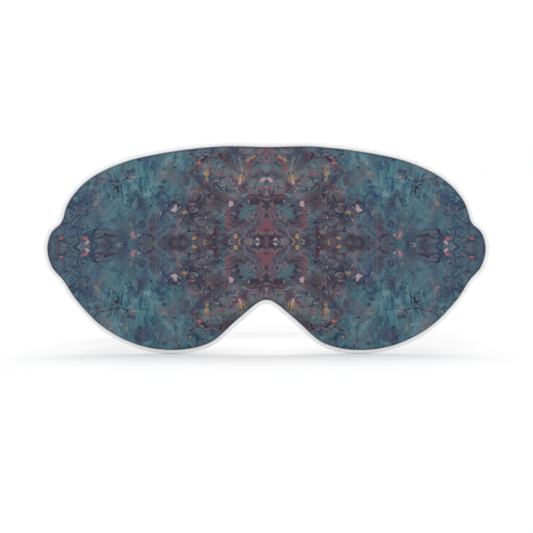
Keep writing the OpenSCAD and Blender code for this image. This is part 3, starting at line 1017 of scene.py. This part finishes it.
def band(name, route, mirrored=False, shrink=None):
    """Elastic along a route, with (u, v) along and across it."""
    section = band_section()
    flip = -1 if mirrored else 1
    rings, uv, points, faces = [], [], [], []
    for run, at, out, tilt in route.stations:
        tuck = 1.0 if shrink is None else shrink(run)
        rings.append([])
        for thick, up in section:
            p = at + out * thick * tuck
            q = in_loop(p.x, p.y, up * tuck, tilt)
            rings[-1].append((flip * q.x, q.y, q.z))
            uv.append((run, up))
    loft(rings, points, faces)
    obj = solid(name, points, faces, ELASTIC)
    set_uv(obj, uv)
    return obj


def from_tab():
    """The start that both bands share: sewn flat on the tab, the curl, and the stretch that twists."""
    route = Route(SEWN_HI.x - SEWN_L, -CURL_R, 0.0, tilt=0.0)
    route.forward(SEWN_L, 10).bend(CURL_R, pi / 2 + LEAN, 22)
    return route.forward(FLEX_L, 16, tilt=DROOP)


FLEX_START = in_loop(0, LEG_START.y, tilt=0.0)
FLEX_END = in_loop(0, LEG_START.y + FLEX_L * cos(LEAN), tilt=0.0)

main_route = from_tab().forward(LEG_L - FLEX_L, 14).bend(ARC_R, pi - 2 * LEAN, 130)
main_route.forward(LEG_L - FAR_BAR, 2).bend(FOLD_R, pi, 20).forward(LEG_L - FAR_BAR, 2)
strap = band("head_band", main_route)
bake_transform(strap)
dress(strap, "elastic", "strap_sewn_end", "strap_flex_end", "strap")

loop_route = from_tab().forward(NEAR_BAR - FLEX_L, 9).bend(FOLD_R, pi, 20).forward(LOOP_TAIL, 7)
ring_band = band("ring_band", loop_route, mirrored=True)
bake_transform(ring_band)
dress(ring_band, "elastic", "ring_loop_sewn_end", "ring_loop_flex_end", "ring_loop")

# The layer that comes back from the ring starts inside the end of the fold, slightly smaller.
TUCK_L = 0.9 * MM
END_TURN = radians(6)       # how far its sewn end runs back past the slider's bar
FLEX_ARC = (158, 127.5)     # degrees round the loop: two places on the return band's arc, worked out below but not used
return_r = ARC_R - 2 * FOLD_R
arc_centre = Vector((0, ARC_Y))
fold_end = arc_centre + return_r * Vector((-cos(LEAN), sin(LEAN)))
back_heading = pi / 2 - LEAN
start_at = fold_end - TUCK_L * Vector((cos(back_heading), sin(back_heading)))
return_route = Route(start_at.x, start_at.y, back_heading).forward(TUCK_L, 2)
# It is walked with its outer face inwards, as the fold has turned it over.
return_route.bend(return_r, -(pi - LEAN - SLIDER_AT), 46).bend(WRAP_R, pi, 20)
return_route.bend(return_r + 2 * WRAP_R, END_TURN, 8)
return_band = band("return_band", return_route, shrink=lambda run: 0.96 if run < TUCK_L * 0.9 else 1.0)


def on_arc(turn, radius):
    a = radians(turn)
    return in_loop(radius * cos(a), ARC_Y + radius * sin(a))


on_arc(FLEX_ARC[0], return_r)
on_arc(FLEX_ARC[1], return_r)
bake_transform(return_band)
dress(return_band, "elastic", "strap_return", "slider_wrap")


# -------- ring and slider

def moulded(name, points, faces, body, node, voxel):
    """Joins the parts of a moulding into one skin with soft corners."""
    obj = solid(name, points, faces, PLASTIC)
    modify(obj, "REMESH", mode="VOXEL", voxel_size=voxel, use_smooth_shade=True)
    modify(obj, "SMOOTH", factor=0.5, iterations=5)
    apply_modifiers(obj)
    obj.data.materials.clear()
    obj.data.materials.append(PLASTIC)
    piece(obj, body, "moulded_plastic", node)


def rounded(half_l, half_w, radius, steps):
    """A rectangle with round corners, anticlockwise round its middle."""
    return np.vstack([
        arc_points((x * (half_l - radius), y * (half_w - radius)), radius, turn, turn + 90, steps)
        for x, y, turn in ((1, 1, 0), (-1, 1, 90), (-1, -1, 180), (1, -1, 270))
    ])


def leg_frame(along, out, up):
    """A point beside the left leg: along it from the curl, out of the loop, and up the band's width."""
    x = LEG_START.x - along * sin(LEAN) + out * cos(LEAN)
    y = LEG_START.y + along * cos(LEAN) + out * sin(LEAN)
    return in_loop(-x, y, up)


# Points round a bar, as cosines and sines.
ROUND = [(cos(a), sin(a)) for a in np.linspace(0, tau, 20, endpoint=False)]
WIRE_R = 1.4 * MM
RING_CORNER_R = 1.6 * MM
PLAY = 0.4 * MM         # between the elastic's edge and the plastic beside it


def strap_ring():
    """A round wire bent into a rectangle, its two long sides in the folds of elastic."""
    path = rounded((FAR_BAR - NEAR_BAR) / 2, STRAP_W / 2 + PLAY + WIRE_R, RING_CORNER_R, 8)
    middle = (NEAR_BAR + FAR_BAR) / 2
    points, faces = [], []
    loft([[leg_frame(middle + p[0] + n[0] * WIRE_R * c, -FOLD_R + WIRE_R * s, p[1] + n[1] * WIRE_R * c)
           for c, s in ROUND] for p, n in zip(path, normals_of(path))], points, faces, close=True)
    moulded("strap_ring", points, faces, "head_strap", "ring", voxel=0.28 * MM)


def at_slider(along, out, up):
    """A point at the slider: along the elastic towards the ring, out of the loop, and up the band's width."""
    c, s = cos(SLIDER_AT), sin(SLIDER_AT)
    return in_loop((ARC_R + out) * c - along * s, ARC_Y + (ARC_R + out) * s + along * c, up)


BAR_R = 0.9 * MM
OUTER_BAR = STRAP_T / 2 + 0.15 * MM + BAR_R
CENTRE_BAR = -2 * FOLD_R + WRAP_R
CENTRE_BAR_R = WRAP_R - STRAP_T / 2 - 0.05 * MM
SLIDER_HALF = 4.4 * MM
RAIL_T = 1.8 * MM
RAIL_IN = STRAP_W / 2 + PLAY
RAIL_CORNER_R = 1.3 * MM
# How far in from its full outline a rail is, at heights from its inner face to its outer one.
RAIL_SOFTENED = ((0.0, 0.45 * MM), (0.12 * MM, 0.2 * MM), (0.35 * MM, 0.0),
                 (RAIL_T - 0.35 * MM, 0.0), (RAIL_T - 0.12 * MM, 0.2 * MM), (RAIL_T, 0.45 * MM))


def slider_frame():
    """Three bars across the elastic between two flat rails: one inside the loop and two outside it."""
    points, faces = [], []
    reach = RAIL_IN + RAIL_T / 2
    for along, out, r in ((SLIDER_HALF, OUTER_BAR, BAR_R), (-SLIDER_HALF, OUTER_BAR, BAR_R),
                          (0.0, CENTRE_BAR, CENTRE_BAR_R)):
        loft([[at_slider(along + r * s, out + r * c, up) for c, s in ROUND]
              for up in np.linspace(-reach, reach, 12)], points, faces)
    half_w = (OUTER_BAR - CENTRE_BAR) / 2 + BAR_R
    middle = (OUTER_BAR + CENTRE_BAR) / 2
    for side in (-1, 1):
        loft([[at_slider(p[1], middle + p[0], side * (RAIL_IN + up))
               for p in rounded(half_w - inset, SLIDER_HALF + BAR_R - inset, RAIL_CORNER_R - inset, 7)]
              for up, inset in RAIL_SOFTENED], points, faces)
    moulded("slider_frame", points, faces, "strap_slider", "slider", voxel=0.22 * MM)


strap_ring()
slider_frame()


# -------- stitches and label

STITCH_BOW = 0.12 * MM
PLY_TURN = 1.3 * MM         # the length of one turn of the thread's twist
PLY_ROWS, PLY_SIDES = 11, 10
TACK_PITCH = 0.42 * MM
TACK_MARGIN = 1.4 * MM      # from the end of a bar tack to the elastic's edge
LOOP_TACK_IN = 2.2 * MM     # from the end of the ring's loop to the middle of its bar tack
SLIDER_TACK_IN = 2.6 * MM   # from the slider's middle to the middle of its bar tack
SEAM_R, TACK_R, LABEL_R, BAR_TACK_R = 0.15 * MM, 0.17 * MM, 0.14 * MM, 0.13 * MM
LABEL_T = 0.16 * MM
LABEL_GAP = 0.02 * MM
LABEL_TURN = 0.12 * MM      # how much thicker its turned ends are
LABEL_TOP = LABEL_GAP + LABEL_T + LABEL_TURN
UP_BACK = (0.0, 1.0, 0.0)
UP_FRONT = (0.0, -1.0, 0.0)


def islands(node):
    """The separate solids of a CAD node, each as its points."""
    bm = bmesh.new()
    bm.from_mesh(frame["nodes"][node].data)
    bmesh.ops.remove_doubles(bm, verts=bm.verts, dist=1e-7)
    seen, found = set(), []
    for first in bm.verts:
        if first.index in seen:
            continue
        group, todo = [], [first]
        seen.add(first.index)
        while todo:
            v = todo.pop()
            group.append(tuple(v.co))
            for e in v.link_edges:
                w = e.other_vert(v)
                if w.index not in seen:
                    seen.add(w.index)
                    todo.append(w)
        found.append(np.array(group))
    bm.free()
    return found


def ends_of(points):
    """The two ends of a long thin solid's middle line."""
    middle = points.mean(0)
    way = np.linalg.svd(points - middle)[2][0]
    run = (points - middle) @ way
    return middle + way * run.min(), middle + way * run.max()


def ply(a, b, up, radius, points, faces):
    """One stitch from a to b: two twisted plies, bowed up in the middle, its ends down in the cloth."""
    a, b, up = np.array(a, float), np.array(b, float), np.array(up, float)
    length = np.linalg.norm(b - a)
    side = np.cross((b - a) / length, up)
    rings = []
    for t in np.linspace(0, 1, PLY_ROWS):
        middle = a + (b - a) * t + up * STITCH_BOW * (sin(pi * t) ** 0.5 - 0.75)
        size = radius * (0.55 + 0.45 * sin(pi * t) ** 0.4)
        rings.append([])
        for angle in np.linspace(0, tau, PLY_SIDES, endpoint=False):
            r = size * (0.86 + 0.14 * cos(2 * (angle - tau * t * length / PLY_TURN)))
            rings[-1].append(middle + r * (cos(angle) * up + sin(angle) * side))
    loft(rings, points, faces)


def stitched(name, node, body, radius, rows):
    """A piece of stitches given as (from, to, up)."""
    points, faces = [], []
    for a, b, up in rows:
        ply(a, b, up, radius, points, faces)
    piece(solid(name, points, faces, THREAD), body, "thread", node)


def from_node(node, up):
    """The stitches of a CAD node as (from, to, up)."""
    return [(*ends_of(points), up) for points in islands(node)]


def bar_tack(to_frame, centre, layers, half_l):
    """A close zigzag across the elastic on both its outer faces. layers are (out, sign) of those faces."""
    found = []
    half_w = STRAP_W / 2 - TACK_MARGIN
    for out, sign in layers:
        up = np.array(to_frame(centre, out + sign * MM, 0.0) - to_frame(centre, out, 0.0)) / MM
        height = -half_w
        while height < half_w:
            a, b, c = (to_frame(centre + way * half_l, out, height + step)
                       for way, step in ((-1, 0), (1, TACK_PITCH / 2), (-1, TACK_PITCH)))
            found += [(a, b, up), (b, c, up)]
            height += TACK_PITCH
    return found


def on_lining(point, lift):
    return (point[0], lining_y([(point[0], point[2])])[0] + lift, point[2])


stitched("seam_stitches", "seam_thread", "mask", SEAM_R, from_node("seam_thread", UP_FRONT))
stitched("strap_tack_stitches", "strap_tack", "mask", TACK_R, from_node("strap_tack", UP_BACK))
stitched("ring_tack_stitches", "ring_loop_tack", "mask", TACK_R, from_node("ring_loop_tack", UP_BACK))
stitched("label_thread", "label_stitches", "mask", LABEL_R,
         [(on_lining(a, LABEL_TOP), on_lining(b, LABEL_TOP), up)
          for a, b, up in from_node("label_stitches", UP_BACK)])
on_face = STRAP_T / 2 - 0.02 * MM
inner_face = (-2 * FOLD_R - on_face, -1)
stitched("ring_loop_bar_tack", "ring_loop_stitches", "head_strap", BAR_TACK_R,
         bar_tack(leg_frame, NEAR_BAR - LOOP_TAIL + LOOP_TACK_IN, ((on_face, 1), inner_face), 0.9 * MM))
stitched("slider_bar_tack", "slider_stitches", "strap_slider", BAR_TACK_R,
         bar_tack(at_slider, SLIDER_TACK_IN, ((-2 * FOLD_R + 2 * WRAP_R + on_face, 1), inner_face), 0.8 * MM))


def care_label():
    """A blank ribbon label, laid on the lining with its middle slightly proud, its ends turned under."""
    lo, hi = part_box("care_label")
    across, along = 15, 41
    points = []
    for top in (True, False):
        for v in np.linspace(0, 1, along):
            for u in np.linspace(0, 1, across):
                bow = 0.14 * MM * sin(pi * v) + 0.04 * MM * sin(9 * v + 4 * u)
                turned = LABEL_TURN * (abs(2 * v - 1) > 0.88)
                worn = 0.05 * MM * (abs(2 * u - 1) ** 8)
                thick = LABEL_T + turned - worn if top else 0.0
                x, z = lo.x + (hi.x - lo.x) * u, lo.z + (hi.z - lo.z) * v
                points.append(on_lining((x, 0.0, z), bow + LABEL_GAP + thick))
    n = across * along
    faces = grid_faces(along, across, close_columns=False)
    faces += [tuple(i + n for i in f)[::-1] for f in faces]
    at = np.arange(n).reshape(along, across)
    faces += rim_faces(np.r_[at[0], at[1:, -1], at[-1, -2::-1], at[-2:0:-1, 0]], n)
    obj = solid("blank_label", points, faces, LABEL)
    modify(obj, "SUBSURF", levels=1, render_levels=1)
    apply_modifiers(obj)
    piece(obj, "mask", "label_tape", "care_label")


care_label()


# -------- light, floor and camera

def sun(name, way, strength, spread):
    """A soft sun shining from the direction way. strength is what it adds to a white surface facing it."""
    data = give(bpy.data.lights.new(name, "SUN"), energy=pi * strength, angle=radians(spread))
    linked(name, data).rotation_euler = Vector(way).to_track_quat("Z", "Y").to_euler()


def surround():
    """A white horizon that is dimmer overhead, as a lit studio wall is."""
    world = bpy.data.worlds.new("studio")
    bpy.context.scene.world = world
    world.use_nodes = True
    nodes = Nodes(world.node_tree)
    height = nodes.split(nodes.place("Generated"))[2]
    nodes.fed(world.node_tree.nodes["Background"], Color=(1, 1, 1, 1),
              Strength=nodes.ease(height, 0.12, 0.40, 1.0, 0.36))


def studio():
    """A white surround, soft light from overhead, the front and low at one side, and a white floor."""
    surround()
    sun("overhead", (0.0, 0.02, 1.0), 0.54, 70)
    sun("front", (-0.2, -1.0, 0.42), 0.24, 40)
    sun("raking", (1.0, 0.35, 0.12), 0.28, 24)
    s = Shader("floor", Roughness=0.9, Specular_IOR_Level=0.1)
    shade = s.blend(s.noise(s.place(), 40.0, 3, 0.5), colour(250, 250, 250), colour(254, 254, 254))
    s.fed(s.surface, Base_Color=shade)
    edge = 4.0
    corners = [(-edge, -edge, 0), (edge, -edge, 0), (edge, edge, 0), (-edge, edge, 0)]
    new_object("floor", corners, [(0, 1, 2, 3)], s.material, smooth=False)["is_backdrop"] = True


def camera():
    """Square on to the printed face and a touch above it."""
    lo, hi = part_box("piping_cover")
    distance, tip = 1.3, radians(3.2)
    fills = 0.837           # share of the picture's width that the mask takes
    aim_height = 0.4135     # height of the picture's middle, as a share of the mask's height
    data = bpy.data.cameras.new("camera")
    data.sensor_width = 36
    data.lens = data.sensor_width * distance * fills / (hi.x - lo.x)
    aim = Vector((0, SEAM_Y, lo.z + (hi.z - lo.z) * aim_height))
    bpy.context.scene.camera = give(
        linked("camera", data), location=aim + distance * Vector((0, -cos(tip), sin(tip))),
        rotation_euler=(pi / 2 - tip, 0, 0))


studio()
camera()
bpy.context.scene.view_settings.view_transform = "Standard"

boxes = {"cad": CAD_BOX, "visual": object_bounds()}
{name: [[float(v) for v in corner] for corner in box] for name, box in boxes.items()}
